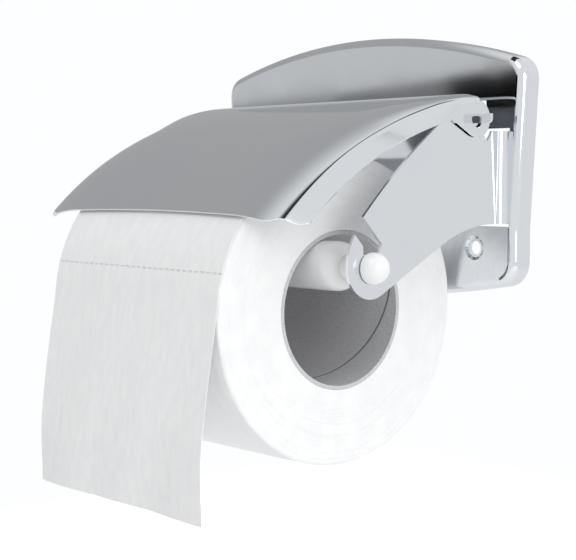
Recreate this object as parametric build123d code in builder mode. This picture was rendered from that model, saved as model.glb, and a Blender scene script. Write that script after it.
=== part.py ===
from build123d import *
from math import acos, atan2, cos, degrees, hypot, pi, radians, sin, sqrt
import os

# Toilet paper holder for a wall: a pressed steel bracket with two bent arms, a curved hinged lid,
# a moulded spindle, and a roll of paper on its cardboard core with the loose end hanging.
# Millimetres. The wall is the plane Y = 0 and the holder faces -Y; +X is on the right of a person
# who faces it; +Z is up. The origin is on the wall, midway between the two screw holes.

# ---- bracket: back plate ----
plate_sheet = 1.0            # thickness of the steel that the plate and arms are pressed from
plate_depth = 8.0            # front face of the plate, in front of the wall
plate_edge_radius = 3.0      # rounding between the face and the rim
plate_half_top = 78.8        # half the width at the upper corners
plate_half_bottom = 75.4     # half the width below the taper
plate_taper_end = 7.0        # height where the sides turn upright
plate_top = 75.0             # crown of the upper arch
plate_shoulder = 62.8        # ends of the upper arch
plate_foot = -11.6           # ends of the lower arch
plate_bottom = -19.0         # lowest point of the lower arch
plate_corner_top = 8.0
plate_corner_bottom = 9.0
plate_waist_radius = 90.0    # eases the turn where the taper ends

screw_spacing = 115.0
screw_hole = 4.8             # diameter
dimple_radius = 4.2          # pressed seat round each screw hole
dimple_floor_radius = 3.2
dimple_depth = 0.6

# ---- bracket: arms ----
arm_outer = 68.8             # outer face of each arm, in front of its crease
arm_splay = 1.0              # how much further out the outer face is at the root
arm_crease = -54.5           # Y of the upright crease
arm_bend_radius = 3.0        # hollow side of the bend between plate and arm
arm_root_low = 8.6           # lower and upper edge of the arm at the plate
arm_root_high = 39.6
arm_low_corner = -25.2       # where the lower edge turns towards the lobe
arm_low_radius = 50.0
arm_relief = 1.0             # gap between the arm's root and the window it was cut from

spindle_y = -68.1            # spindle axis
spindle_z = -4.0
lobe_radius = 9.8            # end of the arm, round the spindle
hook_tip = (-74.9, 6.6)
hook_side = (-77.3, 1.6)
hook_inner = (-71.5, 3.0)
mouth_low = (-64.3, 1.0)     # rear edge of the slot, from the seat up to the beak
mouth_bend = (-63.4, 3.3)
arm_beak = (-71.4, 12.0)
arm_top_middle = (-55.3, 27.5)
arm_top_end = (-33.0, 45.0)

# ---- hinge ----
hinge_y = -21.8
hinge_z = 43.4
hinge_pad_radius = 5.8       # arm round the hinge
heel_radius = 9.4            # cut in the arm's shoulder, round the hinge, for the lid's rear edge
heel_angle = -50.0           # degrees below level, where that cut starts
tongue_height = 3.0
tongue_reach = 77.0          # X of the tongue's tip
tongue_tip_radius = 1.3
tongue_embed = 0.25          # from the arm's inner face to the root of the tongue
hinge_hole = 5.6             # diameter, in the lid's ears

# ---- lid ----
lid_sheet = 0.8
lid_half_width = 71.0
lid_front = (-104.1, 13.1)   # outer face at the front edge
lid_rear = (-18.8, 51.9)     # outer face at the rear edge
lid_arc_radius = 130.0
lid_flange = 7.2             # depth of the side flanges
lid_ear_radius = 6.1
lid_bend_radius = 1.6
lid_nose_radius = 4.0
lid_ear_length = 6.5         # degrees of the lid's curve over which the flange deepens into the ear
lid_nose_notch = 2.6         # relief between the front edge and each flange
lid_notch_width = 6.0
lid_notch_inset = 0.6        # from the notch to the flange
lid_front_dish = 1.5         # how far the middle of the front edge curves back
lid_rear_dish = 1.2
lid_hollow = 30.0            # depth of the cut that hollows the lid, past the ears
lid_hollow_margin = 20.0     # degrees by which that cut runs past each end of the lid

# ---- spindle ----
spindle_radius = 8.0
spindle_half_body = 53.5     # straight length, each way
spindle_shoulder = 5.6       # length of each rounded shoulder
shank_radius = 4.2
neck_radius = 2.9            # neck that drops into the arm's slot
neck_clearance = 0.1         # running fit in the seat
neck_play = 0.4              # gap each side of the arm
knob_radius = 5.0
knob_length = 6.0
knob_rim = 0.8

# ---- roll ----
roll_width = 92.0
roll_offset = 2.0            # the roll sits a little to the right of the middle
roll_radius = 51.0
core_radius = 24.8           # inside of the cardboard
core_wall = 1.2
core_gap = 0.3               # between the cardboard and the spindle it hangs on
core_lean = 25.5             # degrees: the lid holds the roll back from straight below the spindle
wrap_gap = 0.05              # between the cardboard and the first turn of paper

# ---- hanging end of the paper ----
tail_sheet = 0.4
tail_gap = 0.3               # between the roll and the hanging end
tail_start = 138.0           # degrees round the roll, under the front of the lid
tail_leave = 172.0           # degrees round the roll, where the paper leaves it
tail_slant = 30.0            # straight length that still leans forward
tail_ease_radius = 150.0     # curve that turns it upright
tail_bottom = -81.5

# ---- worked out from the above ----
arm_inner = arm_outer - plate_sheet
arm_root_outer = arm_outer + arm_splay
arm_bend_y = -plate_depth - arm_bend_radius
seat_radius = neck_radius + neck_clearance
roll_drop = core_radius - spindle_radius - core_gap
roll_y = spindle_y + roll_drop * sin(radians(core_lean))
roll_z = spindle_z - roll_drop * cos(radians(core_lean))
tail_inner = roll_radius + tail_gap
reach = 200.0                # longer than anything it cuts
radius_tolerance = 0.01      # for picking out edges by their radius

# Unrolled, a point of the arm at Y lies at X = blank_shift + Y on the plate's face.
arm_bend_length = (arm_bend_radius + plate_sheet / 2) * pi / 2
blank_shift = arm_root_outer + arm_bend_radius - arm_bend_length - arm_bend_y

os.makedirs("parts", exist_ok=True)


def on_circle(centre, radius, angle):
    return (centre[0] + radius * cos(radians(angle)), centre[1] + radius * sin(radians(angle)))


def polar_angle(centre, point):
    return degrees(atan2(point[1] - centre[1], point[0] - centre[0]))


def pan_blank(inset, radius, depth):
    """The plate as a solid block: its outline drawn in by inset, with a rounded front edge."""
    with BuildPart() as block:
        with BuildSketch(Plane.XZ) as outline:
            with BuildLine():
                side = Polyline(
                    (plate_half_top, plate_shoulder),
                    (plate_half_bottom, plate_taper_end),
                    (plate_half_bottom, plate_foot),
                )
                ThreePointArc(side @ 1, (0, plate_bottom), (-plate_half_bottom, plate_foot))
                Polyline(
                    (-plate_half_bottom, plate_foot),
                    (-plate_half_bottom, plate_taper_end),
                    (-plate_half_top, plate_shoulder),
                )
                ThreePointArc((-plate_half_top, plate_shoulder), (0, plate_top), side @ 0)
            make_face()
            fillet(outline.vertices().group_by(Axis.Y)[1], plate_waist_radius)
            fillet(outline.vertices().group_by(Axis.Y)[0], plate_corner_bottom)
            fillet(outline.vertices().group_by(Axis.Y)[-1], plate_corner_top)
            if inset:
                offset(amount=-inset, mode=Mode.REPLACE)
        extrude(amount=depth)
        front = block.faces().sort_by(Axis.Y)[0]
        fillet(front.edges(), radius)
    return block.part


def lobe_tangent():
    """Where the arm's straight lower edge touches the lobe."""
    lobe = (spindle_y, spindle_z)
    corner = (arm_low_corner, arm_root_low)
    spread = degrees(acos(lobe_radius / hypot(corner[0] - lobe[0], corner[1] - lobe[1])))
    return on_circle(lobe, lobe_radius, polar_angle(lobe, corner) - spread)


def arm_side(root):
    """The arm seen from the side, drawn as (Y, Z), ending at Y = root behind the plate's face."""
    lobe = (spindle_y, spindle_z)
    touch = lobe_tangent()
    lobe_left = on_circle(lobe, lobe_radius, 180)
    seat_front = on_circle(lobe, seat_radius, 180)
    seat_rear = on_circle(lobe, seat_radius, 0)
    pad = (hinge_y, hinge_z)
    pad_top = on_circle(pad, hinge_pad_radius, 100)
    pad_low = on_circle(pad, hinge_pad_radius, heel_angle)
    heel_low = on_circle(pad, heel_radius, heel_angle)
    heel_rise = arm_root_high - hinge_z
    heel_high = (hinge_y + sqrt(heel_radius**2 - heel_rise**2), arm_root_high)
    heel_middle = on_circle(pad, heel_radius, (heel_angle + polar_angle(pad, heel_high)) / 2)
    with BuildSketch(Plane.YZ) as side:
        with BuildLine():
            FilletPolyline(
                (root, arm_root_low),
                (arm_low_corner, arm_root_low),
                touch,
                radius=arm_low_radius,
            )
            ThreePointArc(touch, on_circle(lobe, lobe_radius, -120), lobe_left)
            ThreePointArc(lobe_left, hook_side, hook_tip)
            Polyline(hook_tip, hook_inner, seat_front)
            ThreePointArc(seat_front, on_circle(lobe, seat_radius, -90), seat_rear)
            Polyline(seat_rear, mouth_low, mouth_bend, arm_beak)
            ThreePointArc(arm_beak, arm_top_middle, arm_top_end)
            Line(arm_top_end, pad_top)
            ThreePointArc(pad_top, on_circle(pad, hinge_pad_radius, 25), pad_low)
            Line(pad_low, heel_low)
            ThreePointArc(heel_low, heel_middle, heel_high)
            Polyline(heel_high, (root, arm_root_high), (root, arm_root_low))
        make_face()
    return side.sketch_local


def window_blank():
    """Half of the window that the arms leave in the plate, drawn as (X, Z)."""
    lobe_x = blank_shift + spindle_y
    touch = lobe_tangent()
    edge = arm_root_outer + arm_bend_radius
    pad_x = blank_shift + hinge_y
    pad_high = hinge_z + hinge_pad_radius + arm_relief
    root_high = arm_root_high + arm_relief
    root_low = arm_root_low - arm_relief
    with BuildSketch(Plane.XZ) as window:
        with BuildLine():
            Polyline(
                (0, arm_beak[1]),
                (blank_shift + arm_beak[0], arm_beak[1] + arm_relief),
                (blank_shift + arm_top_end[0], arm_top_end[1] + arm_relief),
                (pad_x - arm_relief, pad_high),
                (pad_x + hinge_pad_radius, pad_high),
                (pad_x + hinge_pad_radius + arm_relief, root_high),
                (edge, root_high),
                (edge, root_low),
                (blank_shift + arm_low_corner, root_low),
                (blank_shift + touch[0], touch[1] - arm_relief),
                (lobe_x, spindle_z - lobe_radius - arm_relief / 2),
                (0, spindle_z - lobe_radius - arm_relief / 2),
                close=True,
            )
        make_face()
    return window.sketch_local


# ---- wall_bracket: the plate, its two arms and the hinge tongues, pressed from one sheet ----
with BuildPart() as arm:
    with BuildSketch(Plane.XY.offset(-reach / 2)):
        with BuildLine():
            bend = (arm_root_outer + arm_bend_radius, arm_bend_y)
            hollow = Polyline(
                (arm_outer, -reach),
                (arm_outer, arm_crease),
                (arm_root_outer, arm_bend_y),
            )
            turn = ThreePointArc(
                hollow @ 1,
                on_circle(bend, arm_bend_radius, 135),
                (bend[0], -plate_depth),
            )
            Line(turn @ 1, (bend[0], plate_sheet - plate_depth))
            back = ThreePointArc(
                (bend[0], plate_sheet - plate_depth),
                on_circle(bend, arm_bend_radius + plate_sheet, 135),
                (arm_root_outer - plate_sheet, arm_bend_y),
            )
            Polyline(back @ 1, (arm_inner, arm_crease), (arm_inner, -reach), hollow @ 0)
        make_face()
    extrude(amount=reach)
    with BuildSketch(Plane.YZ):
        add(arm_side(0))
        window_end = hinge_y - plate_sheet / 2
        window_start = window_end - (tongue_reach - arm_outer)
        with Locations(((window_start + window_end) / 2, hinge_z)):
            Rectangle(window_end - window_start, tongue_height, mode=Mode.SUBTRACT)
    extrude(amount=reach, mode=Mode.INTERSECT)
    with BuildSketch(Plane.XZ.offset(-hinge_y - plate_sheet / 2)):
        with BuildLine():
            tip = tongue_height / 2
            tongue_root = arm_inner + tongue_embed
            shaft = Polyline(
                (tongue_reach, hinge_z),
                (tongue_reach, hinge_z + tip),
                (tongue_root, hinge_z + tip),
                (tongue_root, hinge_z - tip),
                (tongue_reach, hinge_z - tip),
                close=True,
            )
        tongue = make_face()
        fillet(tongue.vertices().group_by(Axis.X)[-1].sort_by(Axis.Z)[0::2], tongue_tip_radius)
    extrude(amount=plate_sheet)

with BuildPart() as wall_bracket:
    add(pan_blank(0, plate_edge_radius, plate_depth))
    inner_radius = plate_edge_radius - plate_sheet
    add(pan_blank(plate_sheet, inner_radius, plate_depth - plate_sheet), mode=Mode.SUBTRACT)
    with BuildSketch(Plane.XZ):
        add(window_blank())
        mirror(about=Plane.YZ)
        with GridLocations(screw_spacing, 1, 2, 1):
            Circle(dimple_radius)
    extrude(amount=reach, mode=Mode.SUBTRACT)
    for x in (-screw_spacing / 2, screw_spacing / 2):
        with BuildSketch(Plane((x, 0, 0), x_dir=(1, 0, 0), z_dir=(0, 0, 1))):
            with BuildLine():
                face_y = -plate_depth
                Polyline(
                    (screw_hole / 2, face_y + dimple_depth),
                    (dimple_floor_radius, face_y + dimple_depth),
                    (dimple_radius, face_y),
                    (dimple_radius, face_y + plate_sheet),
                    (dimple_floor_radius, face_y + dimple_depth + plate_sheet),
                    (screw_hole / 2, face_y + dimple_depth + plate_sheet),
                    close=True,
                )
            make_face()
        revolve(axis=Axis((x, 0, 0), (0, 1, 0)))
    add(arm.part)
    mirror(arm.part, about=Plane.YZ)
wall_bracket.part.label = "wall_bracket"
export_step(wall_bracket.part, "parts/wall_bracket.step")

# ---- lid: a curved sheet with turned-down sides, hung on the bracket's tongues ----
def arc_centre(start, end, radius):
    """Centre of the arc that rises over the chord from start to end."""
    dy, dz = end[0] - start[0], end[1] - start[1]
    chord = hypot(dy, dz)
    drop = sqrt(radius**2 - (chord / 2) ** 2)
    return ((start[0] + end[0]) / 2 + dz / chord * drop, (start[1] + end[1]) / 2 - dy / chord * drop)


lid_centre = arc_centre(lid_front, lid_rear, lid_arc_radius)
lid_front_angle = polar_angle(lid_centre, lid_front)
lid_rear_angle = polar_angle(lid_centre, lid_rear)


def lid_band(outer, inner, margin):
    """A strip between two radii of the lid's curve, longer than the lid by margin degrees each way."""
    start = lid_rear_angle - margin
    sweep = lid_front_angle - lid_rear_angle + 2 * margin
    with BuildSketch(Plane.YZ) as band:
        with BuildLine():
            high = CenterArc(lid_centre, outer, start, sweep)
            low = CenterArc(lid_centre, inner, start, sweep)
            Line(high @ 0, low @ 0)
            Line(high @ 1, low @ 1)
        make_face()
    return band.sketch_local


def lid_edge_plane(end, angle):
    """Plane touching the lid at one end; its Y runs along the sheet towards the wall."""
    normal = (0, cos(radians(angle)), sin(radians(angle)))
    return Plane((0, end[0], end[1]), x_dir=(1, 0, 0), z_dir=normal)


with BuildPart() as lid:
    ear_angle = lid_rear_angle + lid_ear_length
    ear_start = on_circle(lid_centre, lid_arc_radius - lid_flange + lid_sheet, ear_angle)
    with BuildSketch(Plane.YZ.offset(-lid_half_width)):
        flange = add(lid_band(lid_arc_radius, lid_arc_radius - lid_flange, 0))
        nose = flange.vertices().sort_by(Axis.X)[:2].sort_by(Axis.Y)[0]
        fillet(nose, lid_nose_radius)
        with BuildLine(mode=Mode.PRIVATE) as ear:
            CenterArc((hinge_y, hinge_z), lid_ear_radius, 0, 360)
            Line(ear_start, lid_rear)
        make_hull(ear.edges())
    extrude(amount=2 * lid_half_width)
    with BuildSketch(Plane.YZ.offset(lid_sheet - lid_half_width)):
        add(lid_band(lid_arc_radius - lid_sheet, lid_arc_radius - lid_hollow, lid_hollow_margin))
    extrude(amount=2 * (lid_half_width - lid_sheet), mode=Mode.SUBTRACT)
    arcs = lid.edges().filter_by(GeomType.CIRCLE)
    fillet(arcs.filter_by(lambda arc: abs(arc.radius - lid_arc_radius) < radius_tolerance), lid_bend_radius)
    inner_half = lid_half_width - lid_sheet - lid_notch_inset
    with BuildSketch(lid_edge_plane(lid_front, lid_front_angle)):
        half_bow = inner_half - lid_notch_width
        with BuildLine():
            bow = ThreePointArc((-half_bow, 0), (0, lid_front_dish), (half_bow, 0))
            Polyline(bow @ 1, (half_bow, -lid_flange), (-half_bow, -lid_flange), bow @ 0)
        make_face()
        with Locations((inner_half - lid_notch_width / 2, 0), (lid_notch_width / 2 - inner_half, 0)):
            Rectangle(lid_notch_width, 2 * lid_nose_notch)
    extrude(amount=lid_flange / 2, both=True, mode=Mode.SUBTRACT)
    with BuildSketch(lid_edge_plane(lid_rear, lid_rear_angle)):
        half_bow = lid_half_width - lid_sheet - lid_bend_radius
        with BuildLine():
            bow = ThreePointArc((-half_bow, 0), (0, -lid_rear_dish), (half_bow, 0))
            Polyline(bow @ 1, (half_bow, lid_flange), (-half_bow, lid_flange), bow @ 0)
        make_face()
    extrude(amount=lid_flange / 4, both=True, mode=Mode.SUBTRACT)
    with BuildSketch(Plane.YZ.offset(-lid_half_width)):
        with Locations((hinge_y, hinge_z)):
            Circle(hinge_hole / 2)
    extrude(amount=2 * lid_half_width, mode=Mode.SUBTRACT)
lid.part.label = "lid"
export_step(lid.part, "parts/lid.step")

# ---- spindle: one moulding, with a neck that drops into each arm's slot and a domed knob outside ----
with BuildPart() as spindle:
    spindle_plane = Plane((0, spindle_y, spindle_z), x_dir=(1, 0, 0), z_dir=(0, 0, 1))
    with BuildSketch(spindle_plane):
        with BuildLine():
            shoulder_end = spindle_half_body + spindle_shoulder
            neck_start = arm_inner - neck_play
            knob_start = arm_outer + neck_play
            dome_start = knob_start + knob_rim
            dome_length = knob_length - knob_rim
            Polyline((0, 0), (0, spindle_radius), (spindle_half_body, spindle_radius))
            EllipticalCenterArc(
                (spindle_half_body, shank_radius),
                spindle_shoulder,
                spindle_radius - shank_radius,
                start_angle=0,
                arc_size=90,
            )
            Polyline(
                (shoulder_end, shank_radius),
                (neck_start, shank_radius),
                (neck_start, neck_radius),
                (knob_start, neck_radius),
                (knob_start, knob_radius),
                (dome_start, knob_radius),
            )
            EllipticalCenterArc((dome_start, 0), dome_length, knob_radius, start_angle=0, arc_size=90)
            Line((dome_start + dome_length, 0), (0, 0))
        make_face()
        mirror(about=Plane.YZ)
    revolve(axis=Axis((0, spindle_y, spindle_z), (1, 0, 0)))
spindle.part.label = "spindle"
export_step(spindle.part, "parts/spindle.step")

# ---- cardboard_core and paper_roll, carried by the spindle ----
roll_left = roll_offset - roll_width / 2
core_outer = core_radius + core_wall
with BuildPart() as cardboard_core:
    with BuildSketch(Plane.YZ.offset(roll_left)):
        with Locations((roll_y, roll_z)):
            Circle(core_outer)
            Circle(core_radius, mode=Mode.SUBTRACT)
    extrude(amount=roll_width)
cardboard_core.part.label = "cardboard_core"
export_step(cardboard_core.part, "parts/cardboard_core.step")

with BuildPart() as paper_roll:
    with BuildSketch(Plane.YZ.offset(roll_left)):
        with Locations((roll_y, roll_z)):
            Circle(roll_radius)
            Circle(core_outer + wrap_gap, mode=Mode.SUBTRACT)
    extrude(amount=roll_width)
paper_roll.part.label = "paper_roll"
export_step(paper_roll.part, "parts/paper_roll.step")

# ---- paper_tail: the loose end, from under the lid round the front of the roll and down ----
with BuildPart() as paper_tail:
    with BuildSketch(Plane.YZ.offset(roll_left)):
        with BuildLine():
            wrap = CenterArc((roll_y, roll_z), tail_inner, tail_start, tail_leave - tail_start)
            slant = Line(wrap @ 1, (wrap @ 1) + (wrap % 1) * tail_slant)
            ease = JernArc(slant @ 1, slant % 1, tail_ease_radius, 180 - tail_leave)
            Line(ease @ 1, ((ease @ 1).X, tail_bottom))
            offset(amount=tail_sheet, side=Side.RIGHT)
        make_face()
    extrude(amount=roll_width)
paper_tail.part.label = "paper_tail"
export_step(paper_tail.part, "parts/paper_tail.step")
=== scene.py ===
"""Looks of a wall-mounted toilet paper holder: polished steel bracket and lid, white spindle, paper roll.

Metres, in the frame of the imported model: the wall is the plane y = 0, the holder faces -y, +x is on
the right of a person who faces it, and +z is up. The bracket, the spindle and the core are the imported
parts with a finish; the lid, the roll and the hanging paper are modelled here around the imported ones.
"""

import math

import bpy
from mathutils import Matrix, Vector


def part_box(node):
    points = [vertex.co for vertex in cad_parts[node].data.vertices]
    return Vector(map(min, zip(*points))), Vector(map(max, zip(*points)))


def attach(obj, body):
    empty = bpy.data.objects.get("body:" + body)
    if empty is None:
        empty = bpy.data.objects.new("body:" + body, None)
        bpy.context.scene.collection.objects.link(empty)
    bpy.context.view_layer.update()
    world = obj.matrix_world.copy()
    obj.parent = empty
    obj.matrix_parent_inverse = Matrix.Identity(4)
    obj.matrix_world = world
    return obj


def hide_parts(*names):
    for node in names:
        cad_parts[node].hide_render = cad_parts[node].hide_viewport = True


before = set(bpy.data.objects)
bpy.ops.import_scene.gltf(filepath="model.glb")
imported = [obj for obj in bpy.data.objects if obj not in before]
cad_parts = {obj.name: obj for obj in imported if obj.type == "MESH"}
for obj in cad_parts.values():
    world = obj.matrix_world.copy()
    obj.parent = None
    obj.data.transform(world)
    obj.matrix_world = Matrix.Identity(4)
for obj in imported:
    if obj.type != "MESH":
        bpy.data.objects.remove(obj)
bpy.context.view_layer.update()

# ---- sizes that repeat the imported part's, in metres; angles in degrees ----
HINGE = (-0.0218, 0.0434)               # y and z of the hinge
LID_CENTRE = (-0.01065, -0.07780)       # y and z of the centre of the lid's curve
LID_RADIUS = 0.130
LID_SHEET = 0.0008
LID_HALF = 0.071                        # half the lid's width, outside the skirts
LID_REAR_ANGLE = 93.6                   # about LID_CENTRE, from the wall's side
LID_FRONT_ANGLE = 136.0
FLANGE_DEPTH = 0.0074                   # of the lid's sides, below its top
EAR_RADIUS = 0.0061
HOLE_RADIUS = 0.0028
TAIL_SHEET = 0.0002
PERFORATION_HEIGHT = -0.0050

# ---- sizes of the roll and its core, from the frame ----
roll_low, roll_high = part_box("paper_roll")
ROLL_CENTRE = ((roll_low.y + roll_high.y) / 2, (roll_low.z + roll_high.z) / 2)
ROLL_RADIUS = (roll_high.z - roll_low.z) / 2
ROLL_LEFT, ROLL_RIGHT = roll_low.x, roll_high.x
core_low, core_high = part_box("cardboard_core")
CORE_OUTER = (core_high.z - core_low.z) / 2


# ---- mesh helpers ----
def make_piece(name, points, faces, material, body, stands_for=(), sharp=40):
    """A smooth-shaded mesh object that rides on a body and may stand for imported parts."""
    mesh = bpy.data.meshes.new(name)
    mesh.from_pydata([tuple(float(c) for c in p) for p in points], [], faces)
    mesh.validate()
    mesh.materials.append(material)
    piece = bpy.data.objects.new(name, mesh)
    bpy.context.scene.collection.objects.link(piece)
    mesh.shade_smooth()
    mesh.set_sharp_from_angle(angle=math.radians(sharp))
    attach(piece, body)
    if stands_for:
        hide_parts(*stands_for)
    return piece


def grid_faces(rows, columns, closed=False):
    """Quads of a grid of points stored row by row; closed joins the last column to the first."""
    faces = []
    for i in range(rows - 1):
        for j in range(columns if closed else columns - 1):
            a = i * columns + j
            b = i * columns + (j + 1) % columns
            faces.append((a, b, b + columns, a + columns))
    return faces


def apply_modifiers(piece):
    """Turns the piece's modifiers into its mesh."""
    bpy.context.view_layer.update()
    evaluated = piece.evaluated_get(bpy.context.evaluated_depsgraph_get())
    mesh = bpy.data.meshes.new_from_object(evaluated)
    piece.modifiers.clear()
    piece.data = mesh


def smoothstep(low, high, value):
    """0 below low, 1 above high, and a soft step between them."""
    part = min(max((value - low) / (high - low), 0.0), 1.0)
    return part * part * (3 - 2 * part)


def between(pair, share):
    """The value that is share of the way from the first of a pair to the second."""
    return pair[0] + (pair[1] - pair[0]) * share


def polar(centre, radius, angle):
    """The (y, z) point at an angle in radians round a centre."""
    return centre[0] + radius * math.cos(angle), centre[1] + radius * math.sin(angle)


# ---- shader helpers ----
# numbers of a Mix node's first value, second value and result, whose names are shared by all data types
MIX_SOCKETS = {"FLOAT": (2, 3, 0), "RGBA": (6, 7, 2)}


def plug(tree, socket, value):
    """Links a socket to another node's output, or sets it to a plain value."""
    if isinstance(value, bpy.types.NodeSocket):
        tree.links.new(value, socket)
    else:
        socket.default_value = value


def add_node(tree, kind, **settings):
    """A new node; a setting that starts with in_ is an input's value, the others are the node's own."""
    node = tree.nodes.new(kind)
    for key, value in settings.items():
        if key.startswith("in_"):
            node.inputs[key[3:].replace("_", " ")].default_value = value
        else:
            setattr(node, key, value)
    return node


def math_node(tree, operation, first, second=None):
    """The result of an operation on one or two values, each a socket or a number."""
    node = add_node(tree, "ShaderNodeMath", operation=operation)
    plug(tree, node.inputs[0], first)
    if second is not None:
        plug(tree, node.inputs[1], second)
    return node.outputs[0]


def product(tree, *factors):
    """All the factors multiplied together."""
    result = factors[0]
    for factor in factors[1:]:
        result = math_node(tree, "MULTIPLY", result, factor)
    return result


def total(tree, *terms):
    """All the terms added together."""
    result = terms[0]
    for term in terms[1:]:
        result = math_node(tree, "ADD", result, term)
    return result


def rise(tree, value, low, high, out_low=0.0, out_high=1.0):
    """A soft step of value, from out_low at low to out_high at high."""
    node = add_node(tree, "ShaderNodeMapRange", interpolation_type="SMOOTHSTEP")
    for name, amount in (
        ("Value", value), ("From Min", low), ("From Max", high), ("To Min", out_low), ("To Max", out_high),
    ):
        plug(tree, node.inputs[name], amount)
    return node.outputs["Result"]


def fall(tree, value, low, high):
    """A soft step of value, from 1 at low down to 0 at high."""
    return rise(tree, value, low, high, 1.0, 0.0)


def blend(tree, data_type, mask, first, second):
    """A Mix node from first to second by mask, and its result."""
    first_socket, second_socket, result = MIX_SOCKETS[data_type]
    node = add_node(tree, "ShaderNodeMix", data_type=data_type)
    plug(tree, node.inputs[0], mask)
    plug(tree, node.inputs[first_socket], first)
    plug(tree, node.inputs[second_socket], second)
    return node, node.outputs[result]


def object_place(tree):
    """The surface point in the object's own coordinates, whole and as its x, y and z."""
    place = tree.nodes.new("ShaderNodeTexCoord").outputs["Object"]
    parts = tree.nodes.new("ShaderNodeSeparateXYZ")
    tree.links.new(place, parts.inputs[0])
    return place, parts.outputs


def from_roll_axis(tree, parts):
    """How far the surface point is from the roll's axis, along y and along z."""
    across = math_node(tree, "SUBTRACT", parts["Y"], ROLL_CENTRE[0])
    up = math_node(tree, "SUBTRACT", parts["Z"], ROLL_CENTRE[1])
    return across, up


def new_material(name):
    """A material with its tree and its Principled shader."""
    material = bpy.data.materials.new(name)
    material.use_nodes = True
    tree = material.node_tree
    return material, tree, tree.nodes["Principled BSDF"]


def new_group(name, inputs, outputs):
    """A node group with a Vector and some values going in, and some values coming out."""
    group = bpy.data.node_groups.new(name, "ShaderNodeTree")
    group.interface.new_socket("Vector", in_out="INPUT", socket_type="NodeSocketVector")
    for label in inputs:
        group.interface.new_socket(label, in_out="INPUT", socket_type="NodeSocketFloat")
    for label in outputs:
        group.interface.new_socket(label, in_out="OUTPUT", socket_type="NodeSocketFloat")
    return group, group.nodes.new("NodeGroupInput"), group.nodes.new("NodeGroupOutput")


def build_variation_group():
    """Soft blotches for colour and roughness, and a fine height, from a position and a scale."""
    group, entry, leave = new_group("surface_variation", ("Blotch Scale", "Fine Scale"), ("Blotch", "Fine"))
    for name, detail in (("Blotch", 3.0), ("Fine", 2.0)):
        noise = add_node(group, "ShaderNodeTexNoise", in_Detail=detail)
        group.links.new(entry.outputs["Vector"], noise.inputs["Vector"])
        group.links.new(entry.outputs[name + " Scale"], noise.inputs["Scale"])
        group.links.new(noise.outputs["Fac"], leave.inputs[name])
    return group


def build_crepe_group():
    """Creping of tissue: small soft ridges and broader lumps, as a height and a tint mask."""
    group, entry, leave = new_group("crepe", (), ("Height", "Tint"))
    ridge = add_node(group, "ShaderNodeTexNoise", in_Scale=1.0, in_Detail=3.0)
    lump = add_node(group, "ShaderNodeTexNoise", in_Scale=0.35, in_Detail=2.0)
    for noise in (ridge, lump):
        group.links.new(entry.outputs["Vector"], noise.inputs["Vector"])
    lump_share = math_node(group, "MULTIPLY", lump.outputs["Fac"], 0.6)
    group.links.new(total(group, ridge.outputs["Fac"], lump_share), leave.inputs["Height"])
    group.links.new(lump.outputs["Fac"], leave.inputs["Tint"])
    return group


variation = build_variation_group()
crepe = build_crepe_group()


def place_group(tree, group, vector, **values):
    """Places a node group in a material, with its own values."""
    node = add_node(tree, "ShaderNodeGroup", node_tree=group)
    tree.links.new(vector, node.inputs["Vector"])
    for key, value in values.items():
        node.inputs[key.replace("_", " ")].default_value = value
    return node


def tint(tree, shader, mask, dark, light):
    """Base colour between two shades, by mask; gives the Mix node."""
    mix, colour = blend(tree, "RGBA", mask, (*dark, 1), (*light, 1))
    tree.links.new(colour, shader.inputs["Base Color"])
    return mix


def bump(tree, shader, height, distance, strength):
    """Small relief: a height of 1 stands for the distance, in metres."""
    node = add_node(tree, "ShaderNodeBump", in_Strength=strength, in_Distance=distance)
    tree.links.new(height, node.inputs["Height"])
    tree.links.new(node.outputs["Normal"], shader.inputs["Normal"])


# ---- materials ----
def steel_material(name, roughness, shade):
    """Mirror-polished steel with faint handling marks, where it is rougher and a little lighter."""
    dark, light = (0.93, 0.96, 1.0), (0.95, 0.975, 1.0)
    material, tree, shader = new_material(name)
    place, _ = object_place(tree)
    marks = place_group(tree, variation, place, Blotch_Scale=28.0, Fine_Scale=2600.0)
    blotch = rise(tree, marks.outputs["Blotch"], 0.35, 0.65)
    tint(tree, shader, blotch, [shade * c for c in dark], [shade * c for c in light])
    tree.links.new(rise(tree, blotch, 0, 1, roughness, roughness * 1.5), shader.inputs["Roughness"])
    bump(tree, shader, marks.outputs["Fine"], distance=0.000002, strength=0.3)
    shader.inputs["Metallic"].default_value = 1.0
    return material


def plastic_material():
    """Glossy white moulded plastic."""
    material, tree, shader = new_material("white_moulded_plastic")
    place, _ = object_place(tree)
    marks = place_group(tree, variation, place, Blotch_Scale=60.0, Fine_Scale=1500.0)
    blotch = rise(tree, marks.outputs["Blotch"], 0.3, 0.7)
    tint(tree, shader, blotch, dark=(0.86, 0.865, 0.865), light=(0.92, 0.92, 0.915))
    tree.links.new(rise(tree, blotch, 0, 1, 0.16, 0.26), shader.inputs["Roughness"])
    bump(tree, shader, marks.outputs["Fine"], distance=0.00001, strength=0.4)
    return material


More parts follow.
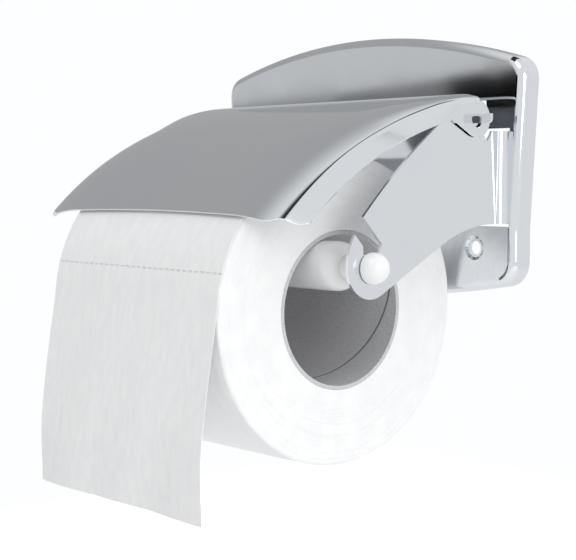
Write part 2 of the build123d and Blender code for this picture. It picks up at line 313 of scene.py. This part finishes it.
def board_material():
    """Grey board wound in a spiral: a thin dark seam along the helix and fine fibres."""
    seam_pitch = 0.060
    seam_start = 0.78                   # in turns
    material, tree, shader = new_material("grey_board")
    place, parts = object_place(tree)
    across, up = from_roll_axis(tree, parts)
    turn = math_node(tree, "DIVIDE", math_node(tree, "ARCTAN2", up, across), 2 * math.pi)
    along = math_node(tree, "DIVIDE", parts["X"], seam_pitch)
    winding = math_node(tree, "FRACT", total(tree, math_node(tree, "SUBTRACT", along, turn), seam_start))
    offset = math_node(tree, "ABSOLUTE", math_node(tree, "SUBTRACT", winding, 0.5))
    seam = rise(tree, offset, 0.004, 0.009)
    marks = place_group(tree, variation, place, Blotch_Scale=90.0, Fine_Scale=1800.0)
    fibre = product(tree, seam, rise(tree, marks.outputs["Fine"], 0.2, 0.6, 0.7, 1.0))
    tint(tree, shader, fibre, dark=(0.20, 0.20, 0.205), light=(0.62, 0.62, 0.63))
    bump(tree, shader, total(tree, seam, marks.outputs["Fine"]), distance=0.00012, strength=0.7)
    shader.inputs["Roughness"].default_value = 0.9
    shader.inputs["Specular IOR Level"].default_value = 0.2
    return material


def tear_line(tree, parts):
    """Mask of the short cuts that a sheet tears along."""
    cut_pitch = 0.0031
    rise_above = math_node(tree, "SUBTRACT", parts["Z"], PERFORATION_HEIGHT)
    near = fall(tree, math_node(tree, "ABSOLUTE", rise_above), 0.00012, 0.00035)
    dash = math_node(tree, "FRACT", math_node(tree, "DIVIDE", parts["X"], cut_pitch))
    return product(tree, near, fall(tree, dash, 0.55, 0.65))


def wound_turns(tree, place, parts):
    """Uneven rings round the roll's axis, where the turns of paper show at its ends."""
    ring_scale = 1900.0                 # rings' noise, per metre of radius
    slack = 0.002                       # how far the rings wander
    across, up = from_roll_axis(tree, parts)
    square = total(tree, math_node(tree, "POWER", across, 2.0), math_node(tree, "POWER", up, 2.0))
    radius = math_node(tree, "SQRT", square)
    loose = add_node(tree, "ShaderNodeTexNoise", in_Scale=40.0, in_Detail=1.0)
    tree.links.new(place, loose.inputs["Vector"])
    shifted = total(tree, radius, product(tree, loose.outputs["Fac"], slack))
    turns = add_node(tree, "ShaderNodeTexNoise", noise_dimensions="1D", in_Scale=ring_scale, in_Detail=2.0)
    tree.links.new(shifted, turns.inputs["W"])
    return turns.outputs["Fac"]


def tissue_material(name, perforated=False, wound=False):
    """White creped tissue; perforated adds the tear line, wound the turns that show at a roll's ends."""
    crepe_scale = (1500.0, 420.0, 420.0)    # finer along x, so that the ridges run round the roll
    darkest_tint = -1.5                     # of a tear line's cuts; the creping's tint is from 0 to 1
    material, tree, shader = new_material(name)
    place, parts = object_place(tree)
    stretch = add_node(tree, "ShaderNodeMapping", in_Scale=crepe_scale)
    tree.links.new(place, stretch.inputs["Vector"])
    wrinkle = place_group(tree, crepe, stretch.outputs["Vector"])
    height = wrinkle.outputs["Height"]
    mask = rise(tree, wrinkle.outputs["Tint"], 0.3, 0.7)
    if perforated:
        cut = tear_line(tree, parts)
        mask = math_node(tree, "SUBTRACT", mask, product(tree, cut, 2.4))
        height = math_node(tree, "SUBTRACT", height, product(tree, cut, 2.0))
    if wound:
        turns = wound_turns(tree, place, parts)
        height = total(tree, height, product(tree, turns, 1.5))
        mask = product(tree, mask, rise(tree, turns, 0.3, 0.55, 0.75, 1.0))
    limited = math_node(tree, "MAXIMUM", mask, darkest_tint)
    mix = tint(tree, shader, limited, dark=(0.895, 0.90, 0.905), light=(0.935, 0.935, 0.935))
    mix.clamp_factor = False
    bump(tree, shader, height, distance=0.00016, strength=0.8)
    shader.inputs["Roughness"].default_value = 0.95
    shader.inputs["Specular IOR Level"].default_value = 0.15
    shader.inputs["Sheen Weight"].default_value = 0.15
    return material


bracket_steel = steel_material("polished_steel_bracket", roughness=0.05, shade=0.86)
lid_steel = steel_material("polished_steel_lid", roughness=0.07, shade=0.84)
plastic = plastic_material()
board = board_material()
roll_tissue = tissue_material("tissue_roll", wound=True)
tail_tissue = tissue_material("tissue_sheet", perforated=True)

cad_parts["wall_bracket"].material_slots[0].material = bracket_steel
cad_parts["spindle"].material_slots[0].material = plastic
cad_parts["cardboard_core"].material_slots[0].material = board


# ---- lid: curved sheet with soft shoulders, notched front corners, skirts and hinge ears ----
# half of its cross-section from the middle outwards, at the rear and at the front; drops are below the top
FLAT_HALF = (0.060, 0.044)              # where the flat middle ends and the shoulder begins
CREASE_HALF = (0.0692, 0.0644)          # where the shoulder ends and the bend begins
CREASE_DROP = (0.0010, 0.0030)
SKIRT_HALF = (0.0710, 0.0653)           # where the bend ends and the skirt begins
SKIRT_DROP = (0.0040, 0.0037)
FRONT_STRETCH = (0.10, 0.45)            # share of the lid's length in which it goes from one to the other
# how the section changes again before the front edge, where the sides spread
SPREAD_STRETCH = (0.60, 1.0)
CREASE_PINCH = 0.0002
SKIRT_SPREAD = 0.0014
SKIRT_SINK = 0.0007
LEAST_SLOPE = 0.35                      # that the bend between shoulder and skirt starts with

TOP_COLUMNS = 12
SHOULDER_COLUMNS = 12
BEND_COLUMNS = 5
SKIRT_COLUMNS = 8
LID_ROWS = 72

# how far the front and rear edges stand back, and between which distances from the lid's middle
FRONT_BOW = 0.0016
FRONT_BOW_HALF = 0.056
NOTCH = 0.0022                          # cut into the front corners
NOTCH_SIDE = (0.0590, 0.0637)
NOSE_RADIUS = 0.0040                    # round end of each skirt
NOSE_FULLNESS = 0.95                    # 1 would be a whole quarter of a circle
REAR_BOW = 0.0012
REAR_BOW_HALF = 0.064
RELIEF = 0.0016                         # room for the arms' shoulders
RELIEF_SIDE = (0.0640, 0.0675)


def half_section(along):
    """Right half of the lid's cross-section as (x, drop) from the middle outwards; along is 0 at the rear."""
    front = smoothstep(*FRONT_STRETCH, along)
    wide = smoothstep(*SPREAD_STRETCH, along)
    start = between(FLAT_HALF, front)
    crease_x = between(CREASE_HALF, front) - CREASE_PINCH * wide
    crease_drop = between(CREASE_DROP, front)
    skirt_x = between(SKIRT_HALF, front) + SKIRT_SPREAD * wide
    skirt_drop = between(SKIRT_DROP, front) + SKIRT_SINK * wide
    section = []
    for i in range(TOP_COLUMNS):
        section.append((start * i / TOP_COLUMNS, 0.0))
    for i in range(SHOULDER_COLUMNS):
        part = i / (SHOULDER_COLUMNS - 1)
        section.append((start + (crease_x - start) * part, crease_drop * part**2))
    # the bend leaves the shoulder at its slope and turns to the skirt, round a corner almost half way down
    slope = 2 * crease_drop / (crease_x - start)
    run = (skirt_drop - crease_drop) / 2
    corner_x = min(crease_x + run / max(slope, LEAST_SLOPE) * 0.5, skirt_x)
    corner_drop = crease_drop + run * 0.45
    for i in range(1, BEND_COLUMNS):
        part = i / BEND_COLUMNS
        x = (1 - part) ** 2 * crease_x + 2 * part * (1 - part) * corner_x + part**2 * skirt_x
        drop = (1 - part) ** 2 * crease_drop + 2 * part * (1 - part) * corner_drop + part**2 * skirt_drop
        section.append((x, drop))
    for i in range(SKIRT_COLUMNS + 1):
        part = i / SKIRT_COLUMNS
        section.append((between((skirt_x, LID_HALF), part), between((skirt_drop, FLANGE_DEPTH), part)))
    return section


LID_COLUMNS = len(half_section(0.5))
BEND_START = TOP_COLUMNS + SHOULDER_COLUMNS - 1
SKIRT_START = LID_COLUMNS - SKIRT_COLUMNS - 1


def front_recess(column):
    """How far the front edge stands back: a bowed middle, a notch, and a round end on the skirt."""
    x = half_section(1.0)[column][0]
    if column <= BEND_START:
        return FRONT_BOW * (1 - min(x / FRONT_BOW_HALF, 1.0) ** 2) + NOTCH * smoothstep(*NOTCH_SIDE, x)
    part = max(column - SKIRT_START, 0) / SKIRT_COLUMNS
    return NOTCH + NOSE_RADIUS - math.sqrt(NOSE_RADIUS**2 - (NOSE_RADIUS * part) ** 2 * NOSE_FULLNESS)


def rear_recess(column):
    """How far the rear edge stands back: a bowed middle, and room at the sides for the arms' shoulders."""
    x = half_section(0.0)[column][0]
    return REAR_BOW * (1 - min(x / REAR_BOW_HALF, 1.0) ** 2) + RELIEF * smoothstep(*RELIEF_SIDE, x)


def lid_row(row):
    """The points of one row across the lid's outer face, from the left skirt to the right one."""
    part = row / LID_ROWS
    even = 1 - (1 - part) ** 1.25       # rows lie closer together towards the front
    right = []
    for column, (x, drop) in enumerate(half_section(even)):
        first = LID_REAR_ANGLE + math.degrees(rear_recess(column) / LID_RADIUS)
        last = LID_FRONT_ANGLE - math.degrees(front_recess(column) / LID_RADIUS)
        angle = math.radians(between((first, last), even))
        right.append((x, *polar(LID_CENTRE, LID_RADIUS - drop, angle)))
    left = [(-x, y, z) for x, y, z in right[:0:-1]]
    return left + right


def build_lid():
    """The sheet's outer face, thickened inwards, with its rim taken off."""
    points = [point for row in range(LID_ROWS + 1) for point in lid_row(row)]
    # turned round so that the outer side is the front of each face
    faces = [(a, d, c, b) for a, b, c, d in grid_faces(LID_ROWS + 1, 2 * LID_COLUMNS - 1)]
    lid = make_piece("lid_cover", points, faces, lid_steel, "lid", ["lid"])
    sheet = lid.modifiers.new("sheet", "SOLIDIFY")
    sheet.thickness = LID_SHEET
    sheet.offset = -1.0
    sheet.use_even_offset = True
    rim = lid.modifiers.new("rim", "BEVEL")
    rim.width = 0.00016
    rim.segments = 2
    rim.limit_method = "ANGLE"
    rim.angle_limit = math.radians(50)
    rim.harden_normals = True
    apply_modifiers(lid)


def convex_hull(points):
    """The outline round a set of (y, z) points, anticlockwise."""
    ordered = sorted(set(points))

    def half(sequence):
        chain = []
        for p in sequence:
            while len(chain) > 1:
                (ax, ay), (bx, by) = chain[-2], chain[-1]
                if (bx - ax) * (p[1] - ay) - (by - ay) * (p[0] - ax) > 0:
                    break
                chain.pop()
            chain.append(p)
        return chain

    return half(ordered)[:-1] + half(ordered[::-1])[:-1]


def reach_to(outline, angle):
    """Distance from (0, 0) to an outline round it, in the direction of an angle."""
    towards = (math.cos(angle), math.sin(angle))
    reach = 0.0
    for a, b in zip(outline, outline[1:] + outline[:1]):
        edge = (b[0] - a[0], b[1] - a[1])
        cross = towards[0] * edge[1] - towards[1] * edge[0]
        if abs(cross) < 1e-12:
            continue
        distance = (a[0] * edge[1] - a[1] * edge[0]) / cross
        share = (a[0] * towards[1] - a[1] * towards[0]) / cross
        if distance > 0 and -1e-6 <= share <= 1 + 1e-6:
            reach = max(reach, distance)
    return reach


EAR_AROUND = 96                         # points round the ear
EAR_SOFT = 0.00015                      # softened edges
EAR_PROUD = 0.00002                     # keeps the ear's faces off the skirt's
EAR_ROOT_DROP = 0.0044                  # top of the ear's root, inside the skirt
EAR_ROOT_ANGLES = (LID_REAR_ANGLE + 0.5, LID_REAR_ANGLE + 7.0)


def ear_outline():
    """The ear's rim as (y, z) from the hinge: a disc that widens up to the skirt."""
    disc_points = 48
    corners = [polar((0, 0), EAR_RADIUS, 2 * math.pi * i / disc_points) for i in range(disc_points)]
    rear, front = EAR_ROOT_ANGLES
    for angle, drop in ((rear, EAR_ROOT_DROP), (front, EAR_ROOT_DROP), (front, FLANGE_DEPTH)):
        y, z = polar(LID_CENTRE, LID_RADIUS - drop, math.radians(angle))
        corners.append((y - HINGE[0], z - HINGE[1]))
    return convex_hull(corners)


def build_ear(side, label):
    """A flat ear with a round hole, hung round the bracket's tongue; side is 1 right and -1 left."""
    outer_x = side * (LID_HALF + EAR_PROUD)
    inner_x = side * (LID_HALF - LID_SHEET - EAR_PROUD)
    inner_soft_x = inner_x + side * EAR_SOFT
    outer_soft_x = outer_x - side * EAR_SOFT
    # each ring is x, a distance from the hinge, and the share of the rim's distance that is added
    rings = [
        (inner_soft_x, HOLE_RADIUS, 0.0),
        (inner_x, HOLE_RADIUS + EAR_SOFT, 0.0),
        (inner_x, -EAR_SOFT, 1.0),
        (inner_soft_x, 0.0, 1.0),
        (outer_soft_x, 0.0, 1.0),
        (outer_x, -EAR_SOFT, 1.0),
        (outer_x, HOLE_RADIUS + EAR_SOFT, 0.0),
        (outer_soft_x, HOLE_RADIUS, 0.0),
    ]
    rings.append(rings[0])
    rim = ear_outline()
    angles = [2 * math.pi * i / EAR_AROUND for i in range(EAR_AROUND)]
    reaches = [reach_to(rim, angle) for angle in angles]
    points = []
    for x, base, share in rings:
        for angle, reach in zip(angles, reaches):
            points.append((x, *polar(HINGE, base + share * reach, angle)))
    faces = grid_faces(len(rings), EAR_AROUND, closed=True)
    if side < 0:
        faces = [f[::-1] for f in faces]
    ear = make_piece("lid_ear_" + label, points, faces, lid_steel, "lid", sharp=30)
    weld = ear.modifiers.new("weld", "WELD")
    weld.merge_threshold = 0.00001
    apply_modifiers(ear)


build_lid()
build_ear(1, "right")
build_ear(-1, "left")


# ---- paper roll: wound a little slack, with soft corners ----
ROLL_AROUND = 160
ROLL_FACE_STEPS = 14                    # from the core out to the soft corner, after a shorter first step
FIRST_STEP = 0.3                        # of a whole step
ROLL_CORNER_STEPS = 4
ROLL_LENGTH_STEPS = 24
ROLL_CORNER = 0.0012
CORE_GAP = 0.0001                       # between the core and the paper
FULLNESS = 0.0001                       # extra radius at the back and again below
FULLEST_ANGLE = math.radians(-38)       # where the back is fullest: a little below the axis
# the turns sink in at the roll's ends in soft waves that twist on their way out from the core
SINK = 0.00045
SINK_WAVES = 3                          # round the roll
SINK_TWIST = 9                          # radians from the core to the rim
END_ZONE = 0.97                         # of the half width; only beyond it is the paper uneven


def roll_profile():
    """Closed section of the roll as (x, radius), from the core along the left end, over and back."""
    inner = CORE_OUTER + CORE_GAP
    shoulder = ROLL_RADIUS - ROLL_CORNER
    length = ROLL_RIGHT - ROLL_LEFT - 2 * ROLL_CORNER
    centre_x = (ROLL_LEFT + ROLL_RIGHT) / 2
    left_end = [(ROLL_LEFT, inner)]
    for i in range(ROLL_FACE_STEPS + 1):
        share = (i + FIRST_STEP) / (ROLL_FACE_STEPS + FIRST_STEP)
        left_end.append((ROLL_LEFT, between((inner, shoulder), share)))
    for i in range(1, ROLL_CORNER_STEPS + 1):
        turn = math.pi / 2 * i / ROLL_CORNER_STEPS
        x = ROLL_LEFT + ROLL_CORNER * (1 - math.cos(turn))
        left_end.append((x, shoulder + ROLL_CORNER * math.sin(turn)))
    outside = []
    for i in range(1, ROLL_LENGTH_STEPS):
        outside.append((ROLL_LEFT + ROLL_CORNER + length * i / ROLL_LENGTH_STEPS, ROLL_RADIUS))
    right_end = [(2 * centre_x - x, radius) for x, radius in left_end[::-1]]
    return left_end + outside + right_end


def build_roll():
    """A thick ring, a hair fuller at the back and below, whose ends are slightly uneven."""
    inner = CORE_OUTER + CORE_GAP
    centre_x = (ROLL_LEFT + ROLL_RIGHT) / 2
    profile = roll_profile()
    points = []
    for i in range(ROLL_AROUND):
        angle = 2 * math.pi * i / ROLL_AROUND
        rear = max(math.cos(angle - FULLEST_ANGLE), 0.0)
        below = max(-math.sin(angle), 0.0)
        bulge = FULLNESS * below**2 + FULLNESS * rear**4
        for x, radius in profile:
            share = (radius - inner) / (ROLL_RADIUS - inner)
            side = (x - centre_x) / (ROLL_RIGHT - centre_x)
            sunk = 0.0
            if abs(side) > END_ZONE:
                sunk = SINK * abs(math.sin(SINK_WAVES * angle + SINK_TWIST * share)) * share
            points.append((x - sunk * side, *polar(ROLL_CENTRE, radius + bulge * share, angle)))
    # a grid whose rows go round the axis; the last row is the first again
    count = len(points)
    faces = [
        tuple(corner % count for corner in (a, d, c, b))
        for a, b, c, d in grid_faces(ROLL_AROUND + 1, len(profile), closed=True)
    ]
    make_piece("roll_of_paper", points, faces, roll_tissue, "roll", ["paper_roll"])


build_roll()


# ---- hanging end of the paper ----
TAIL_START = 138.0                      # degrees round the roll, under the lid
TAIL_LEAVE = 172.0                      # degrees, where the sheet leaves the roll
TAIL_GAP = 0.0004
WRAP_STEPS = 12
CURVE_STEPS = 9                         # between two knots
TAIL_ACROSS = 60
# y and z of the free sheet's side view, from just after it leaves the roll to the torn edge
TAIL_KNOTS = [
    (-0.11290, -0.0190), (-0.11560, -0.0350), (-0.11820, -0.0530), (-0.11900, -0.0650),
    (-0.11850, -0.0815),
]
# each wave's height, radians per metre across, radians per step down and phase
TAIL_WAVES = ((0.00055, 70, 0.06, 0.0), (0.00025, 190, 0.11, 1.0))


def spline_point(p0, p1, p2, p3, t):
    """A point on the smooth curve from p1 to p2, whose neighbours are p0 and p3."""
    return tuple(
        0.5 * (2 * b + (c - a) * t + (2 * a - 5 * b + 4 * c - d) * t**2 + (3 * b - a - 3 * c + d) * t**3)
        for a, b, c, d in zip(p0, p1, p2, p3)
    )


def tail_line():
    """Side view of the hanging sheet as (y, z): round the front of the roll, then down in a soft curve."""
    line = []
    for i in range(WRAP_STEPS + 1):
        angle = math.radians(between((TAIL_START, TAIL_LEAVE), i / WRAP_STEPS))
        line.append(polar(ROLL_CENTRE, ROLL_RADIUS + TAIL_GAP, angle))
    leave = line[-1]
    # the curve leaves the roll in the roll's own direction, and ends straight
    scale = math.dist(leave, TAIL_KNOTS[0]) / math.dist(line[-2], leave)
    before = tuple(b - (b - a) * scale for a, b in zip(line[-2], leave))
    after = tuple(2 * b - a for a, b in zip(TAIL_KNOTS[-2], TAIL_KNOTS[-1]))
    control = [before, leave, *TAIL_KNOTS, after]
    for knots in zip(control, control[1:], control[2:], control[3:]):
        for i in range(1, CURVE_STEPS + 1):
            line.append(spline_point(*knots, i / CURVE_STEPS))
    return line


def tail_side(line, lift):
    """Points of one side of the sheet, lifted off its line; it waves more towards the torn edge."""
    points = []
    for k, (y, z) in enumerate(line):
        following = line[min(k + 1, len(line) - 1)]
        previous = line[max(k - 1, 0)]
        along_y, along_z = following[0] - previous[0], following[1] - previous[1]
        length = math.hypot(along_y, along_z)
        out_y, out_z = along_z / length, -along_y / length
        free = smoothstep(WRAP_STEPS, len(line) - 1, k)
        for j in range(TAIL_ACROSS + 1):
            x = ROLL_LEFT + (ROLL_RIGHT - ROLL_LEFT) * j / TAIL_ACROSS
            wave = sum(h * math.sin(across * x + down * k + phase) for h, across, down, phase in TAIL_WAVES)
            shift = free * wave + lift
            points.append((x, y + out_y * shift, z + out_z * shift))
    return points


def build_tail():
    """A thin sheet with a little waviness and a straight torn edge."""
    line = tail_line()
    rows, columns = len(line), TAIL_ACROSS + 1
    count = rows * columns
    points = tail_side(line, 0.0) + tail_side(line, TAIL_SHEET)
    faces = grid_faces(rows, columns)
    faces += [tuple(count + v for v in f[::-1]) for f in faces]
    # the four edges, once round, close the gap between the two sides
    ring = list(range(columns)) + [r * columns + columns - 1 for r in range(1, rows)]
    ring += [(rows - 1) * columns + c for c in range(columns - 2, -1, -1)]
    ring += [r * columns for r in range(rows - 2, 0, -1)]
    for a, b in zip(ring, ring[1:] + ring[:1]):
        faces.append((b, a, a + count, b + count))
    tail = make_piece("hanging_paper", points, faces, tail_tissue, "bracket", ["paper_tail"])


build_tail()


# ---- floor, light and camera ----
def build_floor():
    """A pale floor well below the holder, which hangs on a wall; it glows a little for the camera."""
    half, height = 1.6, -0.5
    mesh = bpy.data.meshes.new("floor")
    corners = [(-half, -half, height), (half, -half, height), (half, half, height), (-half, half, height)]
    mesh.from_pydata(corners, [], [(0, 1, 2, 3)])
    floor = bpy.data.objects.new("floor", mesh)
    bpy.context.scene.collection.objects.link(floor)
    material, tree, shader = new_material("pale_floor")
    place, _ = object_place(tree)
    marks = place_group(tree, variation, place, Blotch_Scale=3.0, Fine_Scale=40.0)
    tint(tree, shader, marks.outputs["Blotch"], dark=(0.93, 0.93, 0.93), light=(0.96, 0.96, 0.96))
    shader.inputs["Roughness"].default_value = 1.0
    shader.inputs["Emission Color"].default_value = (1, 1, 1, 1)
    eye = tree.nodes.new("ShaderNodeLightPath").outputs["Is Camera Ray"]
    tree.links.new(product(tree, eye, 0.6), shader.inputs["Emission Strength"])
    mesh.materials.append(material)


def studio_level(tree, x, y, z):
    """Brightness of the room that the steel mirrors, by direction: pale, with darker soft-edged panels."""
    # to the left and above, mirrored by the lid's top
    lid_panel = product(tree, fall(tree, x, -0.62, -0.38), rise(tree, z, 0.10, 0.16))
    # at the height of the holder, mirrored by the plate: grey above, dark below a slanting edge
    beside = product(tree, fall(tree, x, -0.45, -0.30), fall(tree, y, -0.2, -0.05))
    plate_panel = product(tree, beside, fall(tree, z, 0.16, 0.22))
    slant = product(tree, total(tree, x, 0.764), 0.197)
    above_slant = math_node(tree, "SUBTRACT", z, slant)
    dark_panel = product(tree, beside, fall(tree, above_slant, 0.049, 0.055))
    # the dark panel's right part, mirrored beside the lid
    black_panel = product(tree, rise(tree, x, -0.685, -0.675), dark_panel, rise(tree, z, -0.01, 0.02))
    # overhead, mirrored by the lid's bends
    strip = product(tree, rise(tree, x, -0.40, -0.34), fall(tree, x, -0.12, -0.05), rise(tree, z, 0.78, 0.84))
    # on the wall's side, mirrored by the arms' outer faces
    wall = product(tree, rise(tree, x, 0.55, 0.7), rise(tree, y, 0.35, 0.5))
    level = 0.84
    for mask, shade in (
        (lid_panel, 0.41), (plate_panel, 0.60), (dark_panel, 0.17),
        (black_panel, 0.0), (strip, 0.03), (wall, 0.80),
    ):
        _, level = blend(tree, "FLOAT", mask, level, shade)
    return level


def build_world():
    """White room for the eye; reflections and light come from soft grey panels round the holder."""
    world = bpy.data.worlds.new("studio")
    bpy.context.scene.world = world
    world.use_nodes = True
    tree = world.node_tree
    tree.nodes.clear()
    out = tree.nodes.new("ShaderNodeOutputWorld")
    shade = add_node(tree, "ShaderNodeBackground", in_Color=(0.985, 0.992, 1.0, 1))
    parts = tree.nodes.new("ShaderNodeSeparateXYZ")
    tree.links.new(tree.nodes.new("ShaderNodeTexCoord").outputs["Generated"], parts.inputs[0])
    x, y, z = parts.outputs
    # matt surfaces get more light from above, from the right and, a little, from the wall's side
    soft = total(tree, product(tree, z, 0.42), product(tree, y, 0.14), product(tree, x, 0.28), 0.52)
    path = tree.nodes.new("ShaderNodeLightPath")
    _, matt = blend(tree, "FLOAT", path.outputs["Is Diffuse Ray"], studio_level(tree, x, y, z), soft)
    _, seen = blend(tree, "FLOAT", path.outputs["Is Camera Ray"], matt, 1.0)
    tree.links.new(seen, shade.inputs["Strength"])
    tree.links.new(shade.outputs[0], out.inputs["Surface"])


def build_light(name, place, size, power):
    """A round lamp turned towards the middle of the holder."""
    middle = Vector((0, -0.06, 0))
    data = bpy.data.lights.new(name, "AREA")
    data.shape = "DISK"
    data.size = size
    data.energy = power
    lamp = bpy.data.objects.new(name, data)
    lamp.location = place
    lamp.rotation_euler = (middle - Vector(place)).to_track_quat("-Z", "Y").to_euler()
    bpy.context.scene.collection.objects.link(lamp)


def build_camera():
    """The camera: in front, to the right and a little above the roll, looking slightly down."""
    data = bpy.data.cameras.new("camera")
    data.lens = 89.4
    data.sensor_width = 36.0
    data.clip_start = 0.01
    camera = bpy.data.objects.new("camera", data)
    camera.location = (0.3881, -0.3767, 0.0241)
    forward = Vector((-0.7563, 0.6504, -0.0714))
    camera.rotation_euler = forward.to_track_quat("-Z", "Y").to_euler()
    bpy.context.scene.collection.objects.link(camera)
    bpy.context.scene.camera = camera


build_floor()
build_world()
build_light("key", place=(1.5, -0.45, 0.30), size=0.8, power=5.6)
build_light("top", place=(0.3, -1.0, 1.3), size=0.9, power=4.5)
build_camera()
bpy.context.scene.view_settings.view_transform = "Standard"
